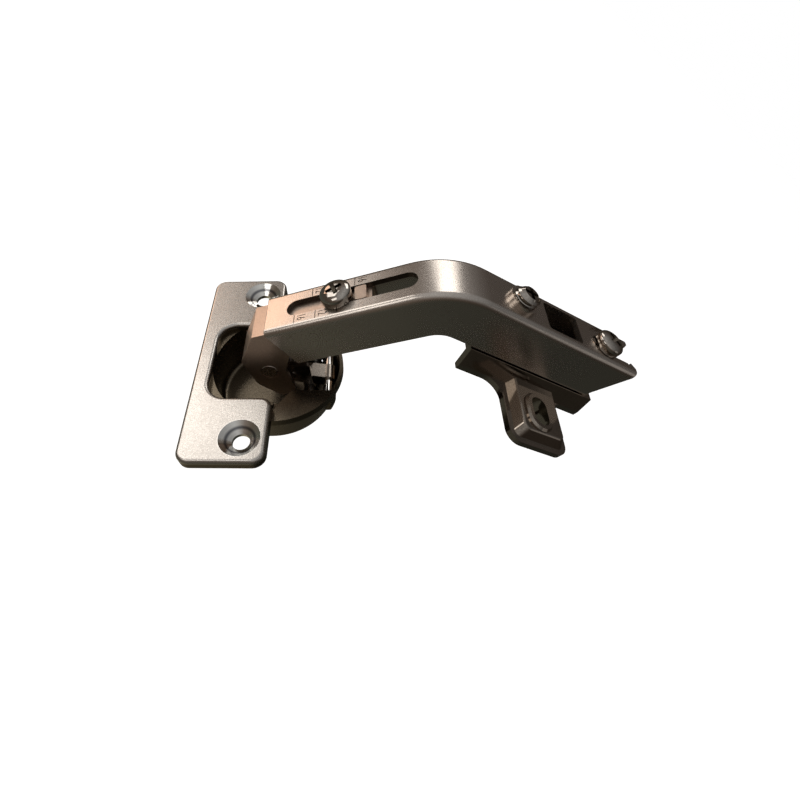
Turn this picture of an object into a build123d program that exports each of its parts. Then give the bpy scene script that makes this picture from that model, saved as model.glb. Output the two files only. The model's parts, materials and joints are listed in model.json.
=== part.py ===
"""Corner-cabinet concealed hinge: cross plate, cranked arm, sliding knuckle, link pair and screw-on cup.

Frame: origin on the plate's seating face, midway between its two fixing slots. X runs back along the
cranked arm's rear leg, Y along every pivot pin and Z out of the seating face. Lengths are millimetres.
"""
from build123d import *
import math
import os

# Cranked arm, a folded steel channel
ARM_WIDTH = 12.4
ARM_SHEET = 1.2
ARM_DEPTH = 11.0
ARM_TOP = 17.0            # its top face above the plate's seating face
CRANK_ANGLE = 45.0
CRANK_RADIUS = 22.0
CRANK_UNDER_RADIUS = 7.0
FRONT_LEG = 42.6          # from the front end to the crank's corner
REAR_LEG = 55.0           # from the crank's corner to the rear end
PLATE_OFFSET = 33.5       # from the crank's corner to the fixing slots
ARM_EDGE_ROUND = 1.5
FRONT_END_SLANT = 4.0
REAR_END_SLANT = 5.0

# Slots, window and fork in the arm's web
OVERLAY_SLOT_WIDTH = 4.7
OVERLAY_SLOT_START = 5.4
OVERLAY_SLOT_END = 35.2
WINDOW_START = 25.8
WINDOW_END = 36.5
WINDOW_WIDTH = 8.2
WINDOW_ROUND = 0.8
FORK_LENGTH = 13.2        # from the rear end
FORK_FLARE = 1.6
FORK_DISH_LENGTH = 15.0
FORK_DISH_WIDTH = 9.4
FORK_DISH_DEPTH = 0.5

# Screws
SIDE_SCREW_AT = 18.5      # along the rear leg, from the crank's corner
SIDE_SCREW_RADIUS = 2.9
SIDE_SCREW_PROUD = 2.8
SIDE_COLLAR_HEIGHT = 1.0
SIDE_COLLAR_WALL = 0.9
SIDE_NECK_RADIUS = 1.5
SIDE_FOOT_RADIUS = 2.5
SIDE_FOOT_HEIGHT = 1.0
REAR_SCREW_INSET = 8.8    # from the rear leg's end
CLAMP_SCREW_AT = 17.4     # along the front leg, from its front end
SHANK_RADIUS = 2.0
HEAD_RADIUS = 3.6
HEAD_HEIGHT = 2.6
RECESS_LENGTH = 4.2
RECESS_WIDTH = 1.1
RECESS_DEPTH = 1.4

# Sliding knuckle, a folded channel inside the front leg
KNUCKLE_SHEET = 1.2
KNUCKLE_WALL = 8.0
KNUCKLE_REAR = 25.0
LUG_START = 21.4
LUG_END = 24.0

# Mounting plate
STRIP_FRONT = -20.5
STRIP_REAR = 19.0
STRIP_WIDTH = 16.0
SHOULDER_WIDTH = 13.6
RAIL_TOP = 12.0
PLATE_SHEET = 1.6
WING_FRONT = -8.0
WING_REAR = 10.0
WING_FRONT_SWEEP = 5.0     # radius where the strip sweeps into the wing
WING_REAR_SWEEP = 2.0
WING_SPAN = 49.0
WING_BASE = 1.4
WING_PAD = 2.2
WING_PAD_INSET = 1.5
WING_PAD_SLOPE = 32.0
WING_ROUND = 3.6
FIX_SPACING = 32.0
FIX_SLOT_RADIUS = 2.3
FIX_SLOT_LENGTH = 7.8
FIX_COLLAR = 1.5
FIX_COLLAR_HEIGHT = 0.8
FIX_COLLAR_BEVEL = 0.5

# Cup and flange, in the flange's own frame: X to the door's edge, Z out of the flange
FLANGE_TILT = 29.0        # the flange's turn against the plate in the resting pose
FLANGE_HEIGHT = 2.9
FLANGE_SHEET = 1.0
FLANGE_BACK = -20.5
FLANGE_FRONT = 0.4
FLANGE_LENGTH = 61.2
FLANGE_ROUND = 3.2
FLANGE_EDGE_ROUND = 0.9
SCREW_SPACING = 48.0
SCREW_OFFSET = 6.0
SCREW_HOLE_RADIUS = 2.15
COUNTERSINK_RADIUS = 5.0
COUNTERSINK_DEPTH = 2.0
SCREW_BOSS_RADIUS = 5.2
CUP_RADIUS = 17.5
CUP_DEPTH = 13.4
CUP_WALL = 0.9
CUP_CORNER = 2.2
CUP_FOOT_RADIUS = 15.8    # the bowl narrows to this on its flat bottom
CUP_FOOT_SHIFT = -1.7     # the bottom's centre lies this far towards the door's edge
CUP_RIM = 2.0             # height of the straight rim below the crescents
PIN_BOSS_WALL = 1.0
MOUTH_BACK = -16.3
MOUTH_WIDTH = 24.6
MOUTH_ROUND = 5.0
MOUTH_FRONT_ROUND = 2.6
MOUTH_NECK_WIDTH = 16.0
MOUTH_NECK_START = 4.6
MOUTH_SLANT_START = 1.5

# Pivots in the resting pose, in the flange's frame (X, Z)
ARM_END = (0.17, 14.68)   # the cranked arm's front end, on its top face
LINK_KNUCKLE_PIN = (-0.77, 0.63)
LINK_CUP_PIN = (8.5, -10.0)
ROCKER_CUP_PIN = (13.4, -6.5)
ROCKER_KNUCKLE_PIN = (2.26, -5.12)
RIVET_RADIUS = 2.25
RIVET_CHAMFER = 0.25
PIN_RADIUS = 1.25
PIN_SEAT = 1.0            # how far a cup pin is pressed into each wall

# Links
LINK_SHEET = 1.1
LINK_WIDTH = 2.6
LINK_EYE = 2.2
LINK_TOP_EYE = 3.6
LINK_ELBOW = (8.0, 0.2)
ROCKER_WIDTH = 4.4
ROCKER_BAR = 3.2
ROCKER_EYE = 1.9
ROCKER_SLOT_TRAVEL = (-0.43, 1.26)   # how far the knuckle's pin drifts in the rocker's open eye
ROCKER_SLOT_CLEARANCE = 0.4
ROCKER_SLOT_WALL = 0.9

# Closing springs, one coil each side of the link on its cup pin
SPRING_WIRE = 0.8
SPRING_WIRE_SIDES = 6     # a flat-sided wire keeps the coils light
SPRING_RADIUS = 1.95
SPRING_TURNS = 4
SPRING_PITCH = 1.0
SPRING_START = 5.3
SPRING_LEG = 4.2

# Clearances
SLIDE_GAP = 0.08
SEAT_GAP = 0.3
RUNNING_GAP = 0.05
FACE_GAP = 0.1
THROUGH = 1.0             # how far a cutter runs past the face that it cuts

# Derived places
CORNER_X = -PLATE_OFFSET
REAR_SCREW_AT = REAR_LEG - REAR_SCREW_INSET
ARM_INSIDE = ARM_WIDTH / 2 - ARM_SHEET
KNUCKLE_HALF = ARM_INSIDE - SLIDE_GAP
KNUCKLE_INSIDE = KNUCKLE_HALF - KNUCKLE_SHEET
KNUCKLE_TOP = ARM_SHEET + SLIDE_GAP
LINK_HALF = KNUCKLE_INSIDE - FACE_GAP
LINK_INSIDE = LINK_HALF - LINK_SHEET
RAIL_HALF = ARM_INSIDE - SEAT_GAP
SHOULDER_TOP = ARM_TOP - ARM_DEPTH - SEAT_GAP
FRONT_X = CORNER_X - FRONT_LEG * math.cos(math.radians(CRANK_ANGLE))
FRONT_Z = ARM_TOP - FRONT_LEG * math.sin(math.radians(CRANK_ANGLE))


def turn(point, degrees):
    """A point of the XZ plane turned from +X towards +Z."""
    angle = math.radians(degrees)
    x = point[0] * math.cos(angle) - point[1] * math.sin(angle)
    z = point[0] * math.sin(angle) + point[1] * math.cos(angle)
    return (x, z)


# Front leg frame: X along the leg from its front end to the crank, Z out of its top face
FRONT_FRAME = Location((FRONT_X, 0, FRONT_Z), (0, -CRANK_ANGLE, 0))
ARM_END_TURNED = turn(ARM_END, FLANGE_TILT)
CUP_X = FRONT_X - ARM_END_TURNED[0]
CUP_Z = FRONT_Z - ARM_END_TURNED[1]
CUP_FRAME = Location((CUP_X, 0, CUP_Z), (0, -FLANGE_TILT, 0))


def on_leg(point):
    """A flange-frame point in the front leg's frame."""
    offset = (point[0] - ARM_END[0], point[1] - ARM_END[1])
    return turn(offset, FLANGE_TILT - CRANK_ANGLE)


def slab(outline, half_width):
    """An XZ outline given its width, centred on the XZ plane."""
    return extrude(Plane.XZ * outline, amount=half_width, both=True)


def polygon(*points):
    return make_face(Polyline(*points, close=True))


def round_corner(face, point, radius):
    """The face with its corner nearest to the point rounded."""
    corner = min(face.vertices(), key=lambda v: (v.X - point[0]) ** 2 + (v.Y - point[1]) ** 2)
    return fillet(corner, radius)


def pin(centre, radius, half_length):
    """A round pin along Y."""
    return slab(Pos(*centre) * Circle(radius), half_length)


def bar(start, end, width):
    """A round-ended bar's outline between two centres."""
    length = math.dist(start, end)
    angle = math.degrees(math.atan2(end[1] - start[1], end[0] - start[0]))
    middle = ((start[0] + end[0]) / 2, (start[1] + end[1]) / 2)
    return Pos(*middle) * Rot(0, 0, angle) * SlotCenterToCenter(length, width)


def cross_recess(top):
    """A cross-shaped driver recess below a height on the Z axis."""
    blade = Box(RECESS_LENGTH, RECESS_WIDTH, RECESS_DEPTH)
    cross = blade + Rot(0, 0, 90) * blade
    return Pos(0, 0, top - RECESS_DEPTH / 2) * cross


def pan_screw(shank_length):
    """A pan-head screw with the head's seat at height zero."""
    head = extrude(Circle(HEAD_RADIUS), amount=HEAD_HEIGHT)
    head = fillet(head.edges().sort_by(Axis.Z)[-1], HEAD_HEIGHT * 0.45)
    shank = Pos(0, 0, -shank_length) * extrude(Circle(SHANK_RADIUS), amount=shank_length)
    return head + shank - cross_recess(HEAD_HEIGHT)


def arm_outline(inset, overrun, depth):
    """The crank's side outline, its top lowered by an inset and its ends lengthened by an overrun."""
    half = math.radians(CRANK_ANGLE / 2)
    corner = (CORNER_X + inset * math.tan(half), ARM_TOP - inset)
    low = (CORNER_X + depth * math.tan(half), ARM_TOP - depth)
    front = turn((-overrun, -inset), CRANK_ANGLE)
    front_low = turn((FRONT_END_SLANT - overrun * 2, -depth), CRANK_ANGLE)
    rear = CORNER_X + REAR_LEG + overrun
    rear_low = CORNER_X + REAR_LEG - REAR_END_SLANT + overrun * 2
    face = polygon(
        (FRONT_X + front[0], FRONT_Z + front[1]),
        corner,
        (rear, ARM_TOP - inset),
        (rear_low, ARM_TOP - depth),
        low,
        (FRONT_X + front_low[0], FRONT_Z + front_low[1]),
    )
    face = round_corner(face, low, CRANK_UNDER_RADIUS)
    return round_corner(face, corner, CRANK_RADIUS - inset)


def make_arm():
    outside = slab(arm_outline(0, 0, ARM_DEPTH), ARM_WIDTH / 2)
    rims = [e for e in outside.edges() if abs(abs(e.center().Y) - ARM_WIDTH / 2) < 0.01]
    top_rims = [e for e in rims if is_top_rim(e)]
    outside = fillet(top_rims, ARM_EDGE_ROUND)
    inside = slab(arm_outline(ARM_SHEET, ARM_DEPTH, ARM_DEPTH * 2), ARM_INSIDE)
    arm = outside - inside
    slot_middle = (OVERLAY_SLOT_START + OVERLAY_SLOT_END) / 2
    slot = SlotOverall(OVERLAY_SLOT_END - OVERLAY_SLOT_START, OVERLAY_SLOT_WIDTH)
    slot_cut = Pos(slot_middle, 0, 0) * extrude(slot, amount=ARM_SHEET + THROUGH, both=True)
    arm -= FRONT_FRAME * slot_cut
    window_length = WINDOW_END - WINDOW_START
    window = RectangleRounded(window_length, WINDOW_WIDTH, WINDOW_ROUND)
    window_x = CORNER_X + (WINDOW_START + WINDOW_END) / 2
    arm -= Pos(window_x, 0, ARM_TOP) * extrude(window, amount=ARM_SHEET + THROUGH, both=True)
    arm -= make_fork()
    collar_radius = SIDE_SCREW_RADIUS + RUNNING_GAP + SIDE_COLLAR_WALL
    side = Pos(CORNER_X + SIDE_SCREW_AT, 0, ARM_TOP - ARM_SHEET)
    arm += side * extrude(Circle(collar_radius), amount=ARM_SHEET + SIDE_COLLAR_HEIGHT)
    bore = Circle(SIDE_SCREW_RADIUS + RUNNING_GAP)
    arm -= side * extrude(bore, amount=ARM_SHEET + SIDE_COLLAR_HEIGHT + THROUGH, both=True)
    return arm


def is_top_rim(edge):
    """Whether a side edge of the arm's blank lies on its top path."""
    middle = edge.center()
    front_normal = turn((0, 1), CRANK_ANGLE)
    drop = (FRONT_X - middle.X) * front_normal[0] + (FRONT_Z - middle.Z) * front_normal[1]
    on_rear = abs(middle.Z - ARM_TOP) < 0.01
    on_front = abs(drop) < 0.01
    on_bend = edge.geom_type == GeomType.CIRCLE and middle.Z > ARM_TOP - ARM_DEPTH / 2
    return on_rear or on_front or on_bend


def make_fork():
    """The cutter for the open-ended, flared fork and the shallow dish round it."""
    fork_half = SHANK_RADIUS + SEAT_GAP
    rear = CORNER_X + REAR_LEG
    start = rear - FORK_LENGTH
    throat = rear - FORK_FLARE
    mouth = fork_half + FORK_FLARE + THROUGH
    fork = polygon(
        (start + fork_half, -fork_half),
        (throat, -fork_half),
        (rear + THROUGH, -mouth),
        (rear + THROUGH, mouth),
        (throat, fork_half),
        (start + fork_half, fork_half),
    )
    fork += Pos(start + fork_half, 0) * Circle(fork_half)
    cutter = Pos(0, 0, ARM_TOP) * extrude(fork, amount=ARM_SHEET + THROUGH, both=True)
    dish_start = rear - FORK_DISH_LENGTH
    dish_radius = FORK_DISH_WIDTH / 2
    dish_end = CORNER_X + REAR_SCREW_AT + HEAD_RADIUS
    dish = Pos((dish_start + dish_end + dish_radius) / 2, 0) * SlotOverall(
        dish_end + dish_radius - dish_start, FORK_DISH_WIDTH
    )
    cutter += Pos(0, 0, ARM_TOP - FORK_DISH_DEPTH) * extrude(dish, amount=FORK_DISH_DEPTH + THROUGH)
    return cutter


def make_side_screw():
    """The side-adjusting screw: a threaded body, a neck and a foot caught under the plate's rail."""
    top = ARM_TOP + SIDE_SCREW_PROUD
    shoulder = RAIL_TOP + FACE_GAP
    neck_low = RAIL_TOP - PLATE_SHEET - FACE_GAP
    body = Pos(0, 0, shoulder) * extrude(Circle(SIDE_SCREW_RADIUS), amount=top - shoulder)
    body = chamfer(body.edges().sort_by(Axis.Z)[-1], SIDE_SCREW_RADIUS * 0.15)
    neck = Pos(0, 0, neck_low) * extrude(Circle(SIDE_NECK_RADIUS), amount=shoulder - neck_low)
    foot_low = neck_low - SIDE_FOOT_HEIGHT
    foot = Pos(0, 0, foot_low) * extrude(Circle(SIDE_FOOT_RADIUS), amount=SIDE_FOOT_HEIGHT)
    screw = body + neck + foot - cross_recess(top)
    return Pos(CORNER_X + SIDE_SCREW_AT, 0, 0) * screw


def make_rear_screw():
    seat = ARM_TOP - FORK_DISH_DEPTH + RUNNING_GAP
    shank = seat - RAIL_TOP + PLATE_SHEET
    return Pos(CORNER_X + REAR_SCREW_AT, 0, seat) * pan_screw(shank)


def make_clamp_screw():
    shank = KNUCKLE_TOP + KNUCKLE_SHEET + RUNNING_GAP + SHANK_RADIUS
    return FRONT_FRAME * Pos(CLAMP_SCREW_AT, 0, RUNNING_GAP) * pan_screw(shank)


def make_knuckle():
    """The sliding channel whose front end folds down into the two pivot cheeks."""
    rivet = on_leg(LINK_KNUCKLE_PIN)
    rocker = on_leg(ROCKER_KNUCKLE_PIN)
    wall_low = -KNUCKLE_TOP - KNUCKLE_WALL
    nose_top = (-3.6, -KNUCKLE_TOP)
    nose_low = (rivet[0] - 5.2, rivet[1] + 5.2)
    jaw = (rivet[0] - 5.1, rivet[1] - 3.4)
    tip = (rocker[0] - 2.2, rocker[1] - 3.5)
    heel = (rocker[0] + 2.2, rocker[1] - 2.3)
    waist = (rivet[0] + 4.2, rivet[1] - 0.6)
    face = polygon(nose_top, (KNUCKLE_REAR, -KNUCKLE_TOP), (KNUCKLE_REAR, wall_low),
                   (waist[0] + 3.0, wall_low), waist, heel, tip, jaw, nose_low)
    face = round_corner(face, nose_low, 0.8)
    face = round_corner(face, jaw, 4.0)
    face = round_corner(face, tip, 1.4)
    face = round_corner(face, heel, 1.4)
    outside = slab(face, KNUCKLE_HALF)
    crown = (nose_top[0] + 0.2, -KNUCKLE_TOP - KNUCKLE_SHEET)
    slope = ((nose_low[0] - nose_top[0]) * 2, (nose_low[1] - nose_top[1]) * 2)
    hollow = polygon(
        crown,
        (KNUCKLE_REAR + THROUGH, crown[1]),
        (KNUCKLE_REAR + THROUGH, crown[1] - ARM_DEPTH * 3),
        (crown[0] + slope[0], crown[1] - ARM_DEPTH * 3),
        (crown[0] + slope[0], crown[1] + slope[1]),
    )
    knuckle = outside - slab(hollow, KNUCKLE_INSIDE)
    knuckle -= pin(rivet, RIVET_RADIUS, KNUCKLE_HALF + THROUGH)
    knuckle -= pin(rocker, PIN_RADIUS, KNUCKLE_INSIDE + KNUCKLE_SHEET / 2)
    lug_length = LUG_END - LUG_START
    lug_top = KNUCKLE_TOP - RUNNING_GAP
    lug_width = OVERLAY_SLOT_WIDTH - SEAT_GAP * 2
    lug = Pos((LUG_START + LUG_END) / 2, 0, -KNUCKLE_TOP) * extrude(
        RectangleRounded(lug_length, lug_width, lug_length * 0.2), amount=lug_top
    )
    bore = Pos(CLAMP_SCREW_AT, 0, -KNUCKLE_TOP) * extrude(
        Circle(SHANK_RADIUS + RUNNING_GAP), amount=KNUCKLE_SHEET + THROUGH, both=True
    )
    return FRONT_FRAME * (knuckle + lug - bore)


def make_rivet():
    rivet = pin(on_leg(LINK_KNUCKLE_PIN), RIVET_RADIUS, KNUCKLE_HALF)
    rivet = chamfer(rivet.edges().filter_by(GeomType.CIRCLE), RIVET_CHAMFER)
    return FRONT_FRAME * rivet


def make_rocker_pin():
    half = KNUCKLE_INSIDE + KNUCKLE_SHEET / 2
    return FRONT_FRAME * pin(on_leg(ROCKER_KNUCKLE_PIN), PIN_RADIUS, half)


def make_link():
    """The bowed link: two cheeks bent round the rocker's pin and joined by a web at the elbow."""
    top = bar(LINK_KNUCKLE_PIN, LINK_ELBOW, LINK_WIDTH)
    leg = bar(LINK_ELBOW, LINK_CUP_PIN, LINK_WIDTH)
    cheek = top + leg + Pos(*LINK_KNUCKLE_PIN) * Circle(LINK_TOP_EYE) + Pos(*LINK_CUP_PIN) * Circle(LINK_EYE)
    web_rear = LINK_ELBOW[0]
    web_front = web_rear - LINK_WIDTH
    web_top = LINK_ELBOW[1] + LINK_WIDTH / 2
    web = Pos((web_front + web_rear) / 2, web_top - LINK_SHEET / 2) * Rectangle(
        web_rear - web_front, LINK_SHEET
    )
    blank = slab(cheek, LINK_HALF) - slab(cheek, LINK_INSIDE)
    link = blank + slab(web, LINK_INSIDE)
    link -= pin(LINK_KNUCKLE_PIN, RIVET_RADIUS + RUNNING_GAP, LINK_HALF + THROUGH)
    link -= pin(LINK_CUP_PIN, PIN_RADIUS + RUNNING_GAP, LINK_HALF + THROUGH)
    return CUP_FRAME * link


def make_rocker():
    """The short link on the outer cup pin; its knuckle end is an open, lengthened eye."""
    start = ROCKER_KNUCKLE_PIN
    end = (start[0] + ROCKER_SLOT_TRAVEL[0], start[1] + ROCKER_SLOT_TRAVEL[1])
    slot_width = 2 * (PIN_RADIUS + ROCKER_SLOT_CLEARANCE)
    middle = ((start[0] + end[0]) / 2, (start[1] + end[1]) / 2)
    body = bar(middle, ROCKER_CUP_PIN, ROCKER_BAR)
    body += bar(start, end, slot_width + 2 * ROCKER_SLOT_WALL)
    body += Pos(*ROCKER_CUP_PIN) * Circle(ROCKER_EYE)
    rocker = slab(body, ROCKER_WIDTH / 2)
    rocker -= slab(bar(start, end, slot_width), ROCKER_WIDTH / 2 + THROUGH)
    rocker -= pin(ROCKER_CUP_PIN, PIN_RADIUS + RUNNING_GAP, ROCKER_WIDTH / 2 + THROUGH)
    return CUP_FRAME * rocker


def mouth_outline():
    """The bowl's mouth below the flange: wide behind the flange's edge, narrow between the crescents."""
    half = MOUTH_WIDTH / 2
    neck = MOUTH_NECK_WIDTH / 2
    return polygon(
        (-CUP_RADIUS, -half),
        (MOUTH_SLANT_START, -half),
        (MOUTH_NECK_START, -neck),
        (CUP_RADIUS, -neck),
        (CUP_RADIUS, neck),
        (MOUTH_NECK_START, neck),
        (MOUTH_SLANT_START, half),
        (-CUP_RADIUS, half),
    )


def mouth_notch(margin):
    """The flange's round-cornered notch over the bowl, widened by a margin and open at the door's edge."""
    back = MOUTH_BACK - margin
    front = FLANGE_FRONT + MOUTH_ROUND * 2
    notch = RectangleRounded(front - back, MOUTH_WIDTH + margin * 2, MOUTH_ROUND + margin)
    return Pos((back + front) / 2, 0) * notch


def make_flange():
    """The stamped flange: a raised hollow sheet with rolled edges, two sunk screw seats and the notch."""
    width = FLANGE_FRONT - FLANGE_BACK
    sheet = Pos((FLANGE_BACK + FLANGE_FRONT) / 2, 0) * RectangleRounded(width, FLANGE_LENGTH, FLANGE_ROUND)
    sheet -= mouth_notch(0)
    for side in (-1, 1):
        sheet = round_corner(sheet, (FLANGE_FRONT, side * MOUTH_WIDTH / 2), MOUTH_FRONT_ROUND)
    flange = Pos(0, 0, -FLANGE_HEIGHT) * extrude(sheet, amount=FLANGE_HEIGHT)
    flange = fillet(flange.faces().sort_by(Axis.Z)[-1].outer_wire().edges(), FLANGE_EDGE_ROUND)
    under = offset(sheet, amount=-FLANGE_SHEET)
    flange -= Pos(0, 0, -FLANGE_HEIGHT) * extrude(under, amount=FLANGE_HEIGHT - FLANGE_SHEET)
    for side in (-1, 1):
        place = Pos(-SCREW_OFFSET, side * SCREW_SPACING / 2, 0)
        flange += place * extrude(Circle(SCREW_BOSS_RADIUS), amount=-FLANGE_HEIGHT)
        flange -= place * extrude(Circle(SCREW_HOLE_RADIUS), amount=FLANGE_HEIGHT + THROUGH, both=True)
        cone = Cone(SCREW_HOLE_RADIUS, COUNTERSINK_RADIUS, COUNTERSINK_DEPTH)
        flange -= place * Pos(0, 0, -COUNTERSINK_DEPTH / 2) * cone
    return flange


def make_cup():
    """The stamped cup: a drawn bowl, the flange, a ledge that joins them and a lower crescent rim."""
    bowl = make_bowl(0, -CUP_DEPTH, -FLANGE_HEIGHT)
    boss = pin(ROCKER_CUP_PIN, PIN_RADIUS + PIN_BOSS_WALL, pin_half_length(ROCKER_CUP_PIN) + PIN_BOSS_WALL)
    bowl += boss & (Pos(0, 0, -CUP_DEPTH) * extrude(Circle(CUP_RADIUS), amount=CUP_DEPTH))
    behind_front = Pos(FLANGE_FRONT - CUP_RADIUS, 0) * Rectangle(CUP_RADIUS * 2, FLANGE_LENGTH)
    ledge = extrude(mouth_notch(FLANGE_SHEET) & behind_front, amount=CUP_WALL)
    cup = make_flange() + bowl + Pos(0, 0, -FLANGE_HEIGHT) * ledge
    floor = CUP_WALL - CUP_DEPTH
    hollow = make_bowl(CUP_WALL, floor, -FLANGE_SHEET)
    mouth = Pos(0, 0, -CUP_DEPTH) * extrude(mouth_outline(), amount=CUP_DEPTH + THROUGH)
    cup -= mouth & hollow
    for centre in (LINK_CUP_PIN, ROCKER_CUP_PIN):
        cup -= pin(centre, PIN_RADIUS, pin_half_length(centre))
    return CUP_FRAME * (cup - spring_pocket())


def make_bowl(inset, bottom, top):
    """The drawn bowl: a straight rim, then a taper to a smaller bottom that lies towards the door's edge."""
    shoulder = -FLANGE_HEIGHT - CUP_RIM
    wide = Circle(CUP_RADIUS - inset)
    narrow = Pos(CUP_FOOT_SHIFT, 0) * Circle(CUP_FOOT_RADIUS - inset)
    rim = Pos(0, 0, shoulder) * extrude(wide, amount=top - shoulder)
    taper = loft([Pos(0, 0, bottom) * narrow, Pos(0, 0, shoulder) * wide])
    taper = fillet(taper.edges().sort_by(Axis.Z)[0], CUP_CORNER - inset)
    return rim + taper


def spring_reach():
    """How far out from the middle the spring coils and their room extend."""
    return SPRING_START + SPRING_TURNS * SPRING_PITCH + SPRING_WIRE + SEAT_GAP


def spring_pocket():
    """Room for the two spring coils beside the mouth's narrow part, under the crescents."""
    reach = SPRING_RADIUS + SPRING_WIRE / 2 + SEAT_GAP
    floor = CUP_WALL - CUP_DEPTH
    top = LINK_CUP_PIN[1] + reach
    room = Box(reach * 2, spring_reach() * 2, top - floor)
    return Pos(LINK_CUP_PIN[0], 0, (top + floor) / 2) * room


def pin_half_length(centre):
    """Half the length of a cup pin, pressed into the wall at each end."""
    inside = spring_reach() if centre is LINK_CUP_PIN else MOUTH_NECK_WIDTH / 2
    return inside + PIN_SEAT


def make_cup_pin(centre):
    return CUP_FRAME * pin(centre, PIN_RADIUS, pin_half_length(centre))


def make_springs():
    """Two torsion coils on the link's cup pin, each with a leg along the cup's floor, in flat-sided wire."""
    coil_height = SPRING_TURNS * SPRING_PITCH
    path = Helix(SPRING_PITCH, coil_height, SPRING_RADIUS)
    start = Plane(origin=path @ 0, z_dir=path % 0)
    wire = RegularPolygon(SPRING_WIRE / 2, SPRING_WIRE_SIDES)
    coil = sweep(start * wire, path=path, is_frenet=True)
    leg = start * extrude(wire, amount=-SPRING_LEG)
    spring = Rot(90, 0, 0) * Rot(0, 0, -90) * (coil + leg)
    near = Pos(LINK_CUP_PIN[0], -SPRING_START, LINK_CUP_PIN[1]) * spring
    far = mirror(near, about=Plane.XZ)
    return CUP_FRAME * Compound(children=[near.solid(), far.solid()])


def plate_section():
    """The pressed plate's cross-section in the YZ plane: strip, shoulders and raised rail."""
    half = [
        (STRIP_WIDTH / 2, 0),
        (STRIP_WIDTH / 2, WING_BASE),
        (SHOULDER_WIDTH / 2, SHOULDER_TOP),
        (RAIL_HALF, SHOULDER_TOP),
        (RAIL_HALF, RAIL_TOP),
    ]
    inner = [
        (RAIL_HALF - PLATE_SHEET, RAIL_TOP - PLATE_SHEET),
        (RAIL_HALF - PLATE_SHEET, SHOULDER_TOP - PLATE_SHEET),
        (SHOULDER_WIDTH / 2 - PLATE_SHEET, SHOULDER_TOP - PLATE_SHEET),
        (STRIP_WIDTH / 2 - PLATE_SHEET, 0),
    ]
    outer = polygon(*half, *[(-y, z) for y, z in reversed(half)])
    hollow = polygon(*inner, *[(-y, z) for y, z in reversed(inner)])
    return outer - hollow


def plate_outline():
    """The plate seen from above: the strip and its two wings, with swept corners between them."""
    half = WING_SPAN / 2
    edge = STRIP_WIDTH / 2
    strip = Pos((STRIP_FRONT + STRIP_REAR) / 2, 0) * Rectangle(STRIP_REAR - STRIP_FRONT, STRIP_WIDTH)
    wings = Pos((WING_FRONT + WING_REAR) / 2, 0) * Rectangle(WING_REAR - WING_FRONT, WING_SPAN)
    outline = (strip + wings).face()
    for side in (-1, 1):
        outline = round_corner(outline, (WING_FRONT, side * half), WING_ROUND)
        outline = round_corner(outline, (WING_REAR, side * half), WING_ROUND)
        outline = round_corner(outline, (WING_FRONT, side * edge), WING_FRONT_SWEEP)
        outline = round_corner(outline, (WING_REAR, side * edge), WING_REAR_SWEEP)
    return outline


def make_pad():
    """The raised pad on one wing, with sloping sides and a collared slot; it starts inside the strip."""
    length = WING_SPAN / 2 - WING_PAD_INSET
    width = WING_REAR - WING_FRONT - WING_PAD_INSET * 2
    outline = Pos((WING_FRONT + WING_REAR) / 2, length / 2) * Rectangle(width, length)
    pad = Pos(0, 0, WING_BASE) * extrude(outline, amount=WING_PAD, taper=WING_PAD_SLOPE)
    slopes = [e for e in pad.edges() if abs(e.center().Z - WING_BASE - WING_PAD / 2) < WING_PAD * 0.1]
    outer = [e for e in slopes if e.center().Y > length / 2]
    pad = fillet(outer, WING_ROUND - WING_PAD_INSET)
    pad = fillet(pad.faces().sort_by(Axis.Z)[-1].outer_wire().edges(), WING_PAD * 0.3)
    collar = SlotOverall(FIX_SLOT_LENGTH + FIX_COLLAR * 2, (FIX_SLOT_RADIUS + FIX_COLLAR) * 2)
    height = WING_BASE + WING_PAD + FIX_COLLAR_HEIGHT
    ring = extrude(collar, amount=height)
    ring = chamfer(ring.faces().sort_by(Axis.Z)[-1].outer_wire().edges(), FIX_COLLAR_BEVEL)
    return pad + Pos(0, FIX_SPACING / 2, 0) * Rot(0, 0, 90) * ring


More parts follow.
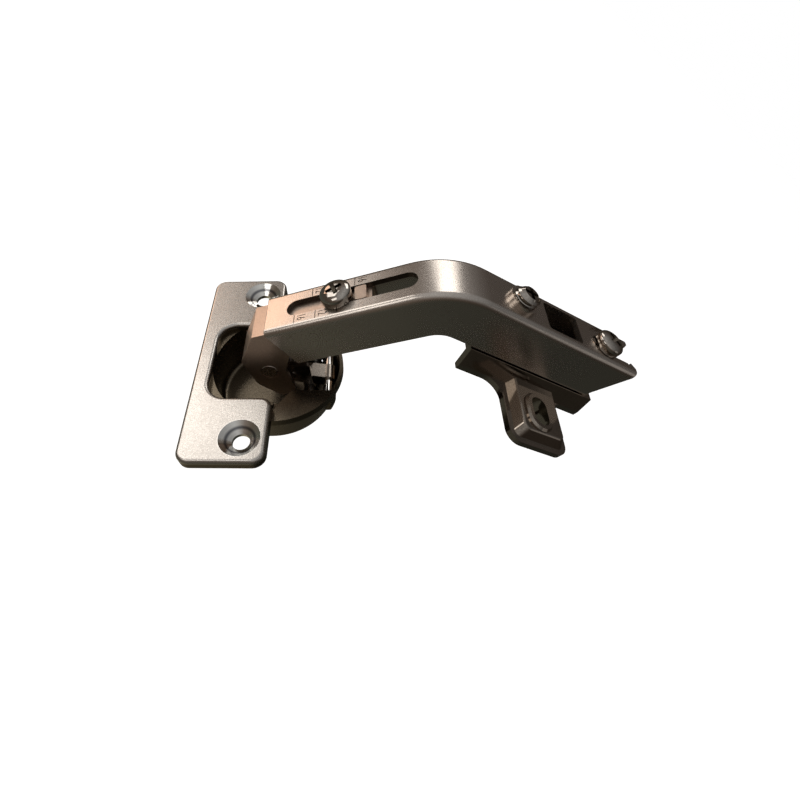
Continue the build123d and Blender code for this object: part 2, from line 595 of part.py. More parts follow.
def make_plate():
    strip = Plane.YZ * plate_section()
    plate = Pos(STRIP_FRONT, 0, 0) * extrude(strip, amount=STRIP_REAR - STRIP_FRONT)
    underside = polygon(
        (-STRIP_WIDTH / 2 + PLATE_SHEET, 0),
        (STRIP_WIDTH / 2 - PLATE_SHEET, 0),
        (SHOULDER_WIDTH / 2 - PLATE_SHEET, SHOULDER_TOP - PLATE_SHEET),
        (-SHOULDER_WIDTH / 2 + PLATE_SHEET, SHOULDER_TOP - PLATE_SHEET),
    )
    hollow_length = STRIP_REAR - STRIP_FRONT + THROUGH * 2
    hollow = Pos(STRIP_FRONT - THROUGH, 0, 0) * extrude(Plane.YZ * underside, amount=hollow_length)
    pad = make_pad()
    plate += extrude(plate_outline(), amount=WING_BASE) + pad + mirror(pad, about=Plane.XZ) - hollow
    slot = Rot(0, 0, 90) * SlotOverall(FIX_SLOT_LENGTH, FIX_SLOT_RADIUS * 2)
    for side in (-1, 1):
        plate -= Pos(0, side * FIX_SPACING / 2, 0) * extrude(slot, amount=RAIL_TOP, both=True)
    neck_slot = Pos(CORNER_X + SIDE_SCREW_AT, 0) * SlotCenterToCenter(
        SIDE_FOOT_RADIUS * 2, (SIDE_NECK_RADIUS + SEAT_GAP) * 2
    )
    plate -= Pos(0, 0, RAIL_TOP) * extrude(neck_slot, amount=PLATE_SHEET + THROUGH, both=True)
    bore = Pos(CORNER_X + REAR_SCREW_AT, 0) * Circle(SHANK_RADIUS + RUNNING_GAP)
    plate -= Pos(0, 0, RAIL_TOP) * extrude(bore, amount=PLATE_SHEET + THROUGH, both=True)
    window_x = CORNER_X + (WINDOW_START + WINDOW_END) / 2
    window_half = RAIL_HALF - PLATE_SHEET
    window = Pos(window_x, 0) * RectangleRounded(WINDOW_END - WINDOW_START, window_half * 2, WINDOW_ROUND)
    plate -= Pos(0, 0, RAIL_TOP) * extrude(window, amount=PLATE_SHEET + THROUGH, both=True)
    return plate


PARTS = {
    "mounting_plate": make_plate,
    "bent_arm": make_arm,
    "side_adjusting_screw": make_side_screw,
    "rear_clamp_screw": make_rear_screw,
    "sliding_knuckle": make_knuckle,
    "overlay_clamp_screw": make_clamp_screw,
    "link_rivet": make_rivet,
    "rocker_pin": make_rocker_pin,
    "bowed_link": make_link,
    "rocker_link": make_rocker,
    "hinge_cup": make_cup,
    "link_cup_pin": lambda: make_cup_pin(LINK_CUP_PIN),
    "rocker_cup_pin": lambda: make_cup_pin(ROCKER_CUP_PIN),
    "closing_springs": make_springs,
}

os.makedirs("parts", exist_ok=True)
for node, make in PARTS.items():
    export_step(make(), os.path.join("parts", node + ".step"))
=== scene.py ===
# %% [markdown]
# # A corner-cabinet hinge in nickel-plated steel
# The hinge arrives as finished solids: a mounting plate, a cranked arm, a sliding knuckle, two links and a
# cup, with their screws, pins and springs. This lesson gives every solid its plating, adds the thread, the
# struck scale, the driver recesses and the round spring wire, and lights it as in a small product studio.

# %% Load the solids and keep their box
import json
import math

import bpy
from mathutils import Euler, Matrix, Vector


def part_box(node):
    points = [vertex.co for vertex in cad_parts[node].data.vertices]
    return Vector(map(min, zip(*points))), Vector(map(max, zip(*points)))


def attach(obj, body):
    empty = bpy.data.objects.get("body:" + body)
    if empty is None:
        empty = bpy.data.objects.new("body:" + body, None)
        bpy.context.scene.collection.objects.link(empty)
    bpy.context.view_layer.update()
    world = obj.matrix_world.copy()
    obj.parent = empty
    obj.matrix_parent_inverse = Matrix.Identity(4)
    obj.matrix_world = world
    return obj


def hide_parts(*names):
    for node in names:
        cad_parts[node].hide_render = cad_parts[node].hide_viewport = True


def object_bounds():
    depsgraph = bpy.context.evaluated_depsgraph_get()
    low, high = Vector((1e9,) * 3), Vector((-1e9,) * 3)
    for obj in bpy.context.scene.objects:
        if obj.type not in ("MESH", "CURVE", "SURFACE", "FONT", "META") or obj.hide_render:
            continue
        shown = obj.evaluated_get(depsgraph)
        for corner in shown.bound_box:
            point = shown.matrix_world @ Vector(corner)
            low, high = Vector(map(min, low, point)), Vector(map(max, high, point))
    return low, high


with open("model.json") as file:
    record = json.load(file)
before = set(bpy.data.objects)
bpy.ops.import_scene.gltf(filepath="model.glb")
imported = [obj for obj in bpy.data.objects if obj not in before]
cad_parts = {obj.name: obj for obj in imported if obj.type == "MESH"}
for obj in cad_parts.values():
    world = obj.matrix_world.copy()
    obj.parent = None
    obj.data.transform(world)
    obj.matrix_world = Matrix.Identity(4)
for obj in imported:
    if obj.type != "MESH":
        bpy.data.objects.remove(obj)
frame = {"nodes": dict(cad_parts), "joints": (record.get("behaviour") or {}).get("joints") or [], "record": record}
MM = 0.001
solids_low, solids_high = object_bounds()
mounts = {mount["name"]: mount for mount in frame["record"]["mounts"]}
joints = {joint["name"]: joint for joint in frame["joints"]}
print("solids", sorted(frame["nodes"]), "box", [round(v / MM, 1) for v in solids_high - solids_low])

# %% [markdown]
# ## Two small frames to work in
# The front leg of the arm and the cup are both tilted, so patterns and stamped marks are easier to place in
# frames of their own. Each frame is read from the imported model: the clamp screw's axis is square to the
# front leg's top face, and the cup screws' axis is square to the flange.

# %% Frames of the front leg and of the flange
PIN_AXIS = Vector((0, 1, 0))


def tilted_frame(origin, normal):
    """A matrix whose Z is the normal, whose Y is along the pivot pins and whose origin is given."""
    up = Vector(normal).normalized()
    along = PIN_AXIS.cross(up)
    turn = Matrix((along, PIN_AXIS, up)).transposed()
    return Matrix.Translation(origin) @ turn.to_4x4()


def screw_frame(joint_name):
    """The frame of a turning screw: its joint's axis is up and its joint's place is the origin."""
    joint = joints[joint_name]
    return tilted_frame(joint["pos_m"], joint["axis"])


leg_frame = screw_frame("overlay_screw_turn")
cup_screws = mounts["cup_screws"]
flange_frame = tilted_frame(cup_screws["pos_m"], cup_screws["axis"])
for name, matrix in (("leg frame", leg_frame), ("flange frame", flange_frame)):
    print(name, "at", [round(v / MM, 2) for v in matrix.translation], "mm")

# %% [markdown]
# ## Plating as a node group
# Nickel on pressed steel is never one flat grey. Close up it has a fine speckle left by the sheet, and
# across a centimetre or so it drifts between bright and dull. Both effects go into one node group, so that
# each piece can take them with its own colours and amounts.

# %% The plating group
FLECK_DETAIL = 3.0
DRIFT_DETAIL = 4.0
FLECK_RANGE = (0.35, 0.65)    # noise values between which the speckle goes from dull to bright
DRIFT_RANGE = (0.30, 0.70)    # the same for the slow drift
FLECK_SHARE = 0.6             # how much of the change is speckle; the rest is drift


def link_all(tree, *pairs):
    """Link each (output, input) pair of sockets."""
    for source, target in pairs:
        tree.links.new(source, target)


def new_node(tree, kind, **values):
    """A new node with some of its settings."""
    node = tree.nodes.new(kind)
    for name, value in values.items():
        setattr(node, name, value)
    return node


def add_sockets(group, side, *sockets):
    """Give a node group its named inputs or outputs."""
    for name, kind, value in sockets:
        socket = group.interface.new_socket(name=name, in_out=side, socket_type="NodeSocket" + kind)
        if value is not None:
            socket.default_value = value


def noise(tree, vector, scale, detail):
    """A noise value whose place and scale come from other sockets."""
    texture = new_node(tree, "ShaderNodeTexNoise")
    texture.inputs["Detail"].default_value = detail
    link_all(tree, (vector, texture.inputs["Vector"]), (scale, texture.inputs["Scale"]))
    return texture.outputs["Fac"]


def spread(tree, value, low, high, to_low, to_high):
    """The value mapped from one range to another and held at the ends; an end is a number or a socket."""
    node = new_node(tree, "ShaderNodeMapRange")
    for name, end in (("From Min", low), ("From Max", high), ("To Min", to_low), ("To Max", to_high)):
        if isinstance(end, (int, float)):
            node.inputs[name].default_value = end
        else:
            tree.links.new(end, node.inputs[name])
    tree.links.new(value, node.inputs["Value"])
    return node.outputs["Result"]


def mixed(tree, share, first, second):
    """The first colour where the share is 0 and the second where it is 1."""
    node = new_node(tree, "ShaderNodeMix", data_type="RGBA")
    link_all(tree, (share, node.inputs["Factor"]), (first, node.inputs["A"]), (second, node.inputs["B"]))
    return node.outputs["Result"]


def make_plating_group():
    """Colour, roughness and height of speckled nickel."""
    group = bpy.data.node_groups.new("nickel_plating", "ShaderNodeTree")
    add_sockets(
        group, "INPUT",
        ("Place", "Vector", None),
        ("Bright", "Color", (0.7, 0.66, 0.6, 1)),
        ("Dull", "Color", (0.5, 0.46, 0.4, 1)),
        ("Speckle scale", "Float", 4200.0),
        ("Cloud scale", "Float", 60.0),
        ("Smooth", "Float", 0.25),
        ("Rough", "Float", 0.4),
    )
    add_sockets(
        group, "OUTPUT",
        ("Color", "Color", None),
        ("Roughness", "Float", None),
        ("Height", "Float", None),
    )
    inside = new_node(group, "NodeGroupInput").outputs
    outside = new_node(group, "NodeGroupOutput").inputs
    speckle = noise(group, inside["Place"], inside["Speckle scale"], FLECK_DETAIL)
    cloud = noise(group, inside["Place"], inside["Cloud scale"], DRIFT_DETAIL)
    fleck = spread(group, speckle, *FLECK_RANGE, 0.0, 1.0)
    drift = spread(group, cloud, *DRIFT_RANGE, 0.0, 1.0)
    weak = new_node(group, "ShaderNodeMath", operation="MULTIPLY")
    weak.inputs[1].default_value = 1.0 - FLECK_SHARE
    both = new_node(group, "ShaderNodeMath", operation="MULTIPLY_ADD")
    both.inputs[1].default_value = FLECK_SHARE
    link_all(
        group,
        (drift, weak.inputs[0]),
        (fleck, both.inputs[0]),
        (weak.outputs[0], both.inputs[2]),
        (mixed(group, both.outputs[0], inside["Dull"], inside["Bright"]), outside["Color"]),
        (spread(group, both.outputs[0], 0.0, 1.0, inside["Rough"], inside["Smooth"]), outside["Roughness"]),
        (speckle, outside["Height"]),
    )
    return group


plating = make_plating_group()
print("plating group", [item.name for item in plating.interface.items_tree])

# %% [markdown]
# ## A depth mask for the cup's painted shade
# Inside the bowl and below the flange the metal is coloured dark and brown as a painted shade. A second
# group turns a position in the flange's own frame into the mask for it, which starts just below the flange's top
# face.

# %% The depth mask group
def make_depth_group():
    """A mask that goes from 0 to 1 between two heights."""
    group = bpy.data.node_groups.new("bowl_shade_below_face", "ShaderNodeTree")
    add_sockets(
        group, "INPUT",
        ("Place", "Vector", None),
        ("Start", "Float", 0.0),
        ("End", "Float", -0.001),
    )
    add_sockets(group, "OUTPUT", ("Mask", "Float", None))
    inside = new_node(group, "NodeGroupInput").outputs
    outside = new_node(group, "NodeGroupOutput").inputs
    split = new_node(group, "ShaderNodeSeparateXYZ")
    mask = spread(group, split.outputs["Z"], inside["Start"], inside["End"], 0.0, 1.0)
    link_all(group, (inside["Place"], split.inputs["Vector"]), (mask, outside["Mask"]))
    return group


# The mask that places the painted shade in the cup.
bowl_shade_mask = make_depth_group()
print("mask group", bowl_shade_mask.name)

# %% [markdown]
# ## One finish for each kind of piece
# The arm is satin sheet, and the knuckle is a warmer and rougher one. The links and the plate are smoother
# and darker, and the screws and pins are turned or polished. Struck marks, driver recesses and sheared
# edges are darker still: their dark colour is painted shade, for the shade in grooves, recesses and edges.
# Each is the same shader with other values in the plating group.

# %% Plated materials
MICRON = 0.001 * MM


def plated(name, bright, dull, smooth, rough, speckle, cloud, grain):
    """A metal with the plating group's colour, roughness and bump; grain is the bump's depth in microns."""
    material = bpy.data.materials.new(name)
    material.use_nodes = True
    tree = material.node_tree
    shader = tree.nodes["Principled BSDF"]
    shader.inputs["Metallic"].default_value = 1.0
    place = new_node(tree, "ShaderNodeTexCoord").outputs["Object"]
    finish = new_node(tree, "ShaderNodeGroup", node_tree=plating)
    finish.name = "finish"
    for socket, value in (
        ("Bright", (*bright, 1)),
        ("Dull", (*dull, 1)),
        ("Smooth", smooth),
        ("Rough", rough),
        ("Speckle scale", speckle),
        ("Cloud scale", cloud),
    ):
        finish.inputs[socket].default_value = value
    bump = new_node(tree, "ShaderNodeBump")
    bump.inputs["Strength"].default_value = 1.0
    bump.inputs["Distance"].default_value = grain * MICRON
    link_all(
        tree,
        (place, finish.inputs["Place"]),
        (finish.outputs["Color"], shader.inputs["Base Color"]),
        (finish.outputs["Roughness"], shader.inputs["Roughness"]),
        (finish.outputs["Height"], bump.inputs["Height"]),
        (bump.outputs["Normal"], shader.inputs["Normal"]),
    )
    return material


sheet = plated("pressed_sheet", (0.72, 0.66, 0.60), (0.54, 0.48, 0.43), 0.20, 0.30, 4200, 60, 8)
folded = plated("knuckle_nickel", (0.66, 0.54, 0.45), (0.50, 0.40, 0.33), 0.29, 0.40, 4200, 60, 8)
link_sheet = plated("link_nickel", (0.34, 0.30, 0.26), (0.22, 0.19, 0.16), 0.16, 0.26, 4200, 90, 6)
dark_sheet = plated("plate_nickel", (0.42, 0.37, 0.32), (0.28, 0.24, 0.20), 0.06, 0.13, 3000, 90, 3)
turned = plated("turned_screw", (0.57, 0.53, 0.48), (0.39, 0.35, 0.31), 0.05, 0.12, 2500, 200, 3)
polished = plated("polished_pin", (0.82, 0.81, 0.79), (0.70, 0.69, 0.67), 0.06, 0.14, 2500, 200, 2)
wire = plated("spring_wire", (0.50, 0.49, 0.47), (0.36, 0.35, 0.33), 0.20, 0.34, 3000, 300, 4)
# Painted shade: the faces of the struck marks are coloured dark for the shade that falls into the grooves.
groove_shade = plated("stamp_groove_shade", (0.26, 0.22, 0.18), (0.16, 0.13, 0.11), 0.35, 0.50, 4000, 200, 4)
# Painted shade: the walls of the driver recess are coloured dark for the shade inside it.
recess_shade = plated("driver_recess_shade", (0.30, 0.28, 0.25), (0.12, 0.11, 0.09), 0.10, 0.20, 3000, 200, 3)
# Rougher for the sheared skin, and coloured dark as painted shade for the slot walls and the shadow line at the
# front edge.
sheared_and_shaded = plated("sheared_edge_shade", (0.16, 0.13, 0.11), (0.07, 0.06, 0.05), 0.35, 0.50, 4000, 200, 6)
print("plating group used in", plating.users, "materials")

# %% [markdown]
# ## The cup's finish
# The flange is satin like the sheet it is stamped from. Below its top face the same metal is coloured darker
# and browner as a painted shade. The two screw seats are turned bright by a countersinking tool, and a darker
# ring is coloured halfway down each cone.

# %% Cup material
FLANGE_BRIGHT = (0.74, 0.70, 0.65)
FLANGE_DULL = (0.56, 0.52, 0.48)
# Painted shade: the bowl and the metal below the flange are coloured dark and brown for the shade that falls
# there.
BOWL_SHADE_BRIGHT = (0.20, 0.165, 0.12)
BOWL_SHADE_DULL = (0.11, 0.09, 0.064)
FLANGE_TOP = 2.45 * MM    # the flange's top face above the origin of the flange frame
SHADE_START = 0.4 * MM     # how far below that face the brown sets in
SHADE_END = 1.4 * MM       # and where it is complete
SEAT_BRIGHT = (0.88, 0.86, 0.82)
SEAT_RING = (0.22, 0.22, 0.23)
SEAT_RING_PLACES = (3.0 * MM, 3.4 * MM, 3.6 * MM, 4.0 * MM)
SEAT_RADIUS = 5.15 * MM
SEAT_FADE = 0.25 * MM
SEAT_ROUGHNESS = 0.08


def colour_node(tree, colour):
    """A plain colour as a socket."""
    node = new_node(tree, "ShaderNodeRGB")
    node.outputs[0].default_value = (*colour, 1)
    return node.outputs[0]


def seat_reach(tree, place):
    """Distance from the middle of the nearer screw seat, along the flange."""
    split = new_node(tree, "ShaderNodeSeparateXYZ")
    from_middle = new_node(tree, "ShaderNodeMath", operation="ABSOLUTE")
    offset = new_node(tree, "ShaderNodeMath", operation="SUBTRACT")
    offset.inputs[1].default_value = cup_screws["dims"]["pcd_mm"] / 2 * MM
    flat = new_node(tree, "ShaderNodeCombineXYZ")
    reach = new_node(tree, "ShaderNodeVectorMath", operation="LENGTH")
    link_all(
        tree,
        (place, split.inputs["Vector"]),
        (split.outputs["Y"], from_middle.inputs[0]),
        (from_middle.outputs[0], offset.inputs[0]),
        (split.outputs["X"], flat.inputs["X"]),
        (offset.outputs[0], flat.inputs["Y"]),
        (flat.outputs["Vector"], reach.inputs[0]),
    )
    return reach.outputs["Value"]


def seat_colour(tree, reach):
    """Bright turned metal with one darker ring on the cone."""
    start, dark_from, dark_to, end = SEAT_RING_PLACES
    inner = spread(tree, reach, start, dark_from, 0.0, 1.0)
    outer = spread(tree, reach, dark_to, end, 1.0, 0.0)
    ring = new_node(tree, "ShaderNodeMath", operation="MULTIPLY")
    link_all(tree, (inner, ring.inputs[0]), (outer, ring.inputs[1]))
    return mixed(tree, ring.outputs[0], colour_node(tree, SEAT_BRIGHT), colour_node(tree, SEAT_RING))


def make_cup_finish():
    """Satin flange, painted shade in the bowl and bright screw seats in one material."""
    material = plated("cup_nickel", FLANGE_BRIGHT, FLANGE_DULL, 0.22, 0.34, 3800, 70, 15)
    tree = material.node_tree
    finish = tree.nodes["finish"]
    place = new_node(tree, "ShaderNodeTexCoord").outputs["Object"]
    mapping = new_node(tree, "ShaderNodeMapping", vector_type="TEXTURE")
    mapping.inputs["Location"].default_value = flange_frame.translation
    mapping.inputs["Rotation"].default_value = flange_frame.to_euler()
    on_flange = mapping.outputs["Vector"]
    # Mask of the painted shade: 0 at the flange's top face, 1 a little below it.
    depth = new_node(tree, "ShaderNodeGroup", node_tree=bowl_shade_mask)
    depth.inputs["Start"].default_value = FLANGE_TOP - SHADE_START
    depth.inputs["End"].default_value = FLANGE_TOP - SHADE_END
    link_all(tree, (place, mapping.inputs["Vector"]), (on_flange, depth.inputs["Place"]))
    # The painted shade is mixed into both plating colours below the flange.
    for name, above, below in (("Bright", FLANGE_BRIGHT, BOWL_SHADE_BRIGHT), ("Dull", FLANGE_DULL, BOWL_SHADE_DULL)):
        with_shade = mixed(tree, depth.outputs["Mask"], colour_node(tree, above), colour_node(tree, below))
        tree.links.new(with_shade, finish.inputs[name])
    reach = seat_reach(tree, on_flange)
    seat = spread(tree, reach, SEAT_RADIUS, SEAT_RADIUS - SEAT_FADE, 0.0, 1.0)
    shader = tree.nodes["Principled BSDF"]
    shine = mixed(tree, seat, finish.outputs["Color"], seat_colour(tree, reach))
    gloss = spread(tree, seat, 0.0, 1.0, finish.outputs["Roughness"], SEAT_ROUGHNESS)
    link_all(tree, (shine, shader.inputs["Base Color"]), (gloss, shader.inputs["Roughness"]))
    return material


cup_finish = make_cup_finish()
print("cup finish", len(cup_finish.node_tree.nodes), "nodes")

# %% Coat every solid
FINISHES = {
    "mounting_plate": dark_sheet,
    "bent_arm": sheet,
    "sliding_knuckle": folded,
    "bowed_link": link_sheet,
    "rocker_link": link_sheet,
    "hinge_cup": cup_finish,
    "side_adjusting_screw": turned,
    "rear_clamp_screw": turned,
    "overlay_clamp_screw": turned,
    "link_rivet": sheet,
    "rocker_pin": polished,
    "link_cup_pin": polished,
    "rocker_cup_pin": polished,
    "closing_springs": wire,
}


def coat(piece, material):
    """Give a piece one finish all over."""
    piece.data.materials.clear()
    piece.data.materials.append(material)


for node, material in FINISHES.items():
    coat(frame["nodes"][node], material)
print("coated", len(FINISHES), "nodes")

# %% [markdown]
# ## Tools for modelling
# Each new piece is shaped as by hand: a primitive is added, its faces are picked by place, and edit-mode
# operators and modifiers do the rest. At the end the object's place goes into its mesh, so that every piece
# sits at the origin like the solids that arrived.

# %% Helpers for picking, cutting and placing
FACING = 0.9    # a face looks along an axis when its normal has more than this along it


def pick(piece):
    """Select one object alone and make it the active one."""
    bpy.ops.object.select_all(action="DESELECT")
    piece.select_set(True)
    bpy.context.view_layer.objects.active = piece


def start_from(add_primitive, **settings):
    """Add a primitive with nothing else selected."""
    bpy.ops.object.select_all(action="DESELECT")
    add_primitive(**settings)
    return bpy.context.object


def place_mesh(piece, matrix):
    """Put the piece's place, turn and scale into its mesh."""
    piece.matrix_world = matrix
    pick(piece)
    bpy.ops.object.transform_apply(location=True, rotation=True, scale=True)
    return piece


def apply_modifier(piece, kind, **settings):
    """Add a modifier with its settings and apply it at once."""
    pick(piece)
    modifier = piece.modifiers.new(kind.lower(), kind)
    for name, value in settings.items():
        setattr(modifier, name, value)
    bpy.ops.object.modifier_apply(modifier=modifier.name)


def cut(piece, cutter):
    """Take a cutter's shape out of a piece; the new faces keep the cutter's material."""
    apply_modifier(piece, "BOOLEAN", operation="DIFFERENCE", solver="EXACT", object=cutter,
                   material_mode="TRANSFER")
    bpy.data.objects.remove(cutter)


def join_pieces(first, second, name):
    """Make two pieces one object."""
    pick(first)
    second.select_set(True)
    bpy.ops.object.join()
    first.name = name
    first.data.name = name
    return first


def leave_edit():
    """Go back to object mode."""
    bpy.ops.object.mode_set(mode="OBJECT")


def select_faces(piece, wanted):
    """Enter edit mode with only the faces picked whose middle and normal pass the test."""
    pick(piece)
    bpy.ops.object.mode_set(mode="EDIT")
    bpy.ops.mesh.select_mode(type="FACE")
    bpy.ops.mesh.select_all(action="DESELECT")
    leave_edit()
    for face in piece.data.polygons:
        face.select = wanted(face.center, face.normal)
    bpy.ops.object.mode_set(mode="EDIT")


def looks_up(centre, normal):
    """A test for select_faces."""
    return normal.z > FACING


def looks_down(centre, normal):
    """A test for select_faces."""
    return normal.z < -FACING


def select_all(piece):
    """Enter edit mode with the whole mesh picked."""
    pick(piece)
    bpy.ops.object.mode_set(mode="EDIT")
    bpy.ops.mesh.select_all(action="SELECT")


def close_ends(piece, sides):
    """Cap the open ends of a swept section and turn its faces outwards."""
    select_all(piece)
    bpy.ops.mesh.fill_holes(sides=sides)
    bpy.ops.mesh.normals_make_consistent(inside=False)
    leave_edit()


def smooth(piece, degrees):
    """Shade smooth, with edges sharper than an angle kept."""
    pick(piece)
    bpy.ops.object.shade_smooth_by_angle(angle=math.radians(degrees))


def coat_first(piece, material):
    """Set the piece's main finish and leave the finishes that its cuts brought."""
    if piece.data.materials:
        piece.data.materials[0] = material
    else:
        piece.data.materials.append(material)


def stand_for(piece, node, body, material):
    """Let a finished piece take a solid's place on its body."""
    coat_first(piece, material)
    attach(piece, body)
    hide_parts(node)


print("modelling helpers ready")

# %% [markdown]
# ## Pan-head screws
# The two clamp screws are small cold-headed pan screws with a cross recess. The head starts as a short
# cylinder; its top face is inset and lifted in steps that follow a circle, which gives the dome. The recess
# is cut with two tapered blades, since a driver's cross narrows as it goes down.

# %% A tapered cross recess
RECESS_LENGTH = 5.4 * MM
RECESS_WIDTH = 1.4 * MM
RECESS_DEPTH = 1.8 * MM
RECESS_TAPER = 0.4


def cut_cross(piece, top):
    """Cut a driver's cross whose blades narrow towards the bottom."""
    size = Matrix.Diagonal((RECESS_LENGTH, RECESS_WIDTH, RECESS_DEPTH * 2, 1))
    for degrees in (0, 90):
        blade = start_from(bpy.ops.mesh.primitive_cube_add, size=1)
        # The blade's painted-shade finish passes to the recess walls it leaves.
        coat(blade, recess_shade)
        turn = Matrix.Rotation(math.radians(degrees), 4, "Z")
        place_mesh(blade, Matrix.Translation((0, 0, top)) @ turn @ size)
        select_faces(blade, looks_down)
        bpy.ops.transform.resize(value=(RECESS_TAPER, RECESS_TAPER, 1), center_override=(0, 0, 0))
        leave_edit()
        cut(piece, blade)


print("cross recess", round(RECESS_DEPTH / MM, 2), "mm deep")

# %% The pan-head screw
HEAD_RADIUS = 3.6 * MM
HEAD_HEIGHT = 2.6 * MM
HEAD_WALL = 1.4 * MM     # the straight rim below the dome
HEAD_EDGE = 0.12 * MM
EDGE_ANGLE = 40          # degrees past which an edge is rounded
SHANK_RADIUS = 2.0 * MM
ROUND_SIDES = 64
DOME_STEPS = 10
DOME_REACH = 62          # degrees of the quarter circle before the flat crown
SCREW_SHARP = 35         # degrees past which an edge stays sharp


def lift_dome(piece):
    """Inset and lift the top face in steps along a quarter circle, flattened at the crown."""
    reach = math.radians(DOME_REACH)
    rise = (HEAD_HEIGHT - HEAD_WALL) / math.sin(reach)
    select_faces(piece, looks_up)
    for step in range(DOME_STEPS):
        start = reach * step / DOME_STEPS
        end = reach * (step + 1) / DOME_STEPS
        bpy.ops.mesh.inset(thickness=HEAD_RADIUS * (math.cos(start) - math.cos(end)))
        bpy.ops.transform.translate(value=(0, 0, rise * (math.sin(end) - math.sin(start))))
    leave_edit()


def make_pan_screw(name, shank):
    """A pan screw with its seat at height zero and its shank below."""
    screw = start_from(bpy.ops.mesh.primitive_cylinder_add, vertices=ROUND_SIDES, radius=HEAD_RADIUS,
                       depth=HEAD_WALL, location=(0, 0, HEAD_WALL / 2))
    place_mesh(screw, screw.matrix_world.copy())
    lift_dome(screw)
    select_faces(screw, looks_down)
    bpy.ops.mesh.inset(thickness=HEAD_RADIUS - SHANK_RADIUS)
    bpy.ops.mesh.extrude_region_move(TRANSFORM_OT_translate={"value": (0, 0, -shank)})
    leave_edit()
    apply_modifier(screw, "BEVEL", width=HEAD_EDGE, segments=2, limit_method="ANGLE",
                   angle_limit=math.radians(EDGE_ANGLE))
    cut_cross(screw, HEAD_HEIGHT)
    smooth(screw, SCREW_SHARP)
    screw.name = name
    return screw


print("pan head", round(HEAD_RADIUS * 2 / MM, 2), "mm across")

# %% Clamp screw and rear screw
def screw_ends(node, matrix):
    """The lowest and highest point of a solid screw along its own axis."""
    inverse = matrix.inverted()
    heights = [(inverse @ vertex.co).z for vertex in frame["nodes"][node].data.vertices]
    return min(heights), max(heights)


for node, joint, body, turned_by in (
    ("overlay_clamp_screw", "overlay_screw_turn", "overlay_screw", 20),
    ("rear_clamp_screw", "rear_screw_turn", "rear_screw", 35),
):
    place = screw_frame(joint)
    tip, crown = screw_ends(node, place)
    seat = crown - HEAD_HEIGHT
    screw = make_pan_screw(node + "_dressed", seat - tip)
    spin = Matrix.Rotation(math.radians(turned_by), 4, "Z")
    place_mesh(screw, place @ Matrix.Translation((0, 0, seat)) @ spin)
    stand_for(screw, node, body, turned)
    print(node, "seat", round(seat / MM, 2), "mm")

# %% [markdown]
# ## Threaded side screw
# The side-adjusting screw is a headless stud with a rolled thread, so its thread is in full view. A small
# triangle is swept by a Screw modifier into a helical ridge round a plain core, as a die would leave it.
# The core, the neck and the foot are drawn out of one cylinder, at the solid's own heights.

# %% The side-adjusting screw
THREAD_RADIUS = 2.9 * MM
THREAD_CORE = 2.45 * MM
THREAD_PITCH = 0.85 * MM
THREAD_STEPS = 40        # faces in one turn
RIDGE_STRETCH = 0.52     # the triangle's size along the screw, as a share of the pitch
RIDGE_RISE = 0.72        # and its size outwards, as a share of the thread's depth
NECK_RADIUS = 1.5 * MM
FOOT_RADIUS = 2.5 * MM
FOOT_HEIGHT = 1.0 * MM
FOOT_TOP = 10.3 * MM     # above the plate's seating face
BODY_LOW = 12.1 * MM     # above the same face, where the thread begins
CORE_BEVEL = 0.5 * MM
THREAD_SHARP = 28        # degrees past which an edge stays sharp
UPRIGHT = Matrix(((0, 1, 0, 0), (0, 0, 1, 0), (1, 0, 0, 0), (0, 0, 0, 1)))


def make_thread(low, high):
    """A helical ridge of triangular section between two heights."""
    turns = int((high - low) / THREAD_PITCH)
    rise = (THREAD_RADIUS - THREAD_CORE) * RIDGE_RISE
    ridge = start_from(bpy.ops.mesh.primitive_circle_add, vertices=3, radius=1)
    stretch = Matrix.Diagonal((THREAD_PITCH * RIDGE_STRETCH, rise, 1, 1))
    offset = Matrix.Translation((THREAD_RADIUS - rise, 0, low + THREAD_PITCH / 2))
    place_mesh(ridge, offset @ UPRIGHT @ stretch)
    apply_modifier(ridge, "SCREW", axis="Z", angle=math.tau, screw_offset=THREAD_PITCH, iterations=turns,
                   steps=THREAD_STEPS, render_steps=THREAD_STEPS, use_smooth_shade=False)
    close_ends(ridge, 3)
    return ridge


def draw_up(height):
    """Extrude the picked face upwards."""
    bpy.ops.mesh.extrude_region_move(TRANSFORM_OT_translate={"value": (0, 0, height)})


def widen(share, height):
    """Scale the picked face about the stud's axis."""
    bpy.ops.transform.resize(value=(share, share, 1), center_override=(0, 0, height))


def make_stud(top):
    """Core, neck and foot, drawn out of one cylinder from the foot upwards."""
    stud = start_from(bpy.ops.mesh.primitive_cylinder_add, vertices=ROUND_SIDES, radius=FOOT_RADIUS,
                      depth=FOOT_HEIGHT, location=(0, 0, FOOT_TOP - FOOT_HEIGHT / 2))
    place_mesh(stud, stud.matrix_world.copy())
    select_faces(stud, looks_up)
    bpy.ops.mesh.inset(thickness=FOOT_RADIUS - NECK_RADIUS)
    draw_up(BODY_LOW - FOOT_TOP)
    bpy.ops.mesh.extrude_region_move()
    widen(THREAD_CORE / NECK_RADIUS, BODY_LOW)
    draw_up(top - CORE_BEVEL - BODY_LOW)
    draw_up(CORE_BEVEL)
    widen((THREAD_CORE - CORE_BEVEL) / THREAD_CORE, top)
    leave_edit()
    return stud


side_place = joints["side_screw_turn"]["pos_m"]
side_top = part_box("side_adjusting_screw")[1][2]
stud = make_stud(side_top)
cut_cross(stud, side_top)
thread = make_thread(BODY_LOW, side_top - CORE_BEVEL)
side_screw = join_pieces(stud, thread, "side_adjusting_screw_dressed")
smooth(side_screw, THREAD_SHARP)
place_mesh(side_screw, Matrix.Translation((side_place[0], side_place[1], 0)))
stand_for(side_screw, "side_adjusting_screw", "side_screw", turned)
print("side screw top", round(side_top / MM, 2), "mm", len(side_screw.data.polygons), "faces")
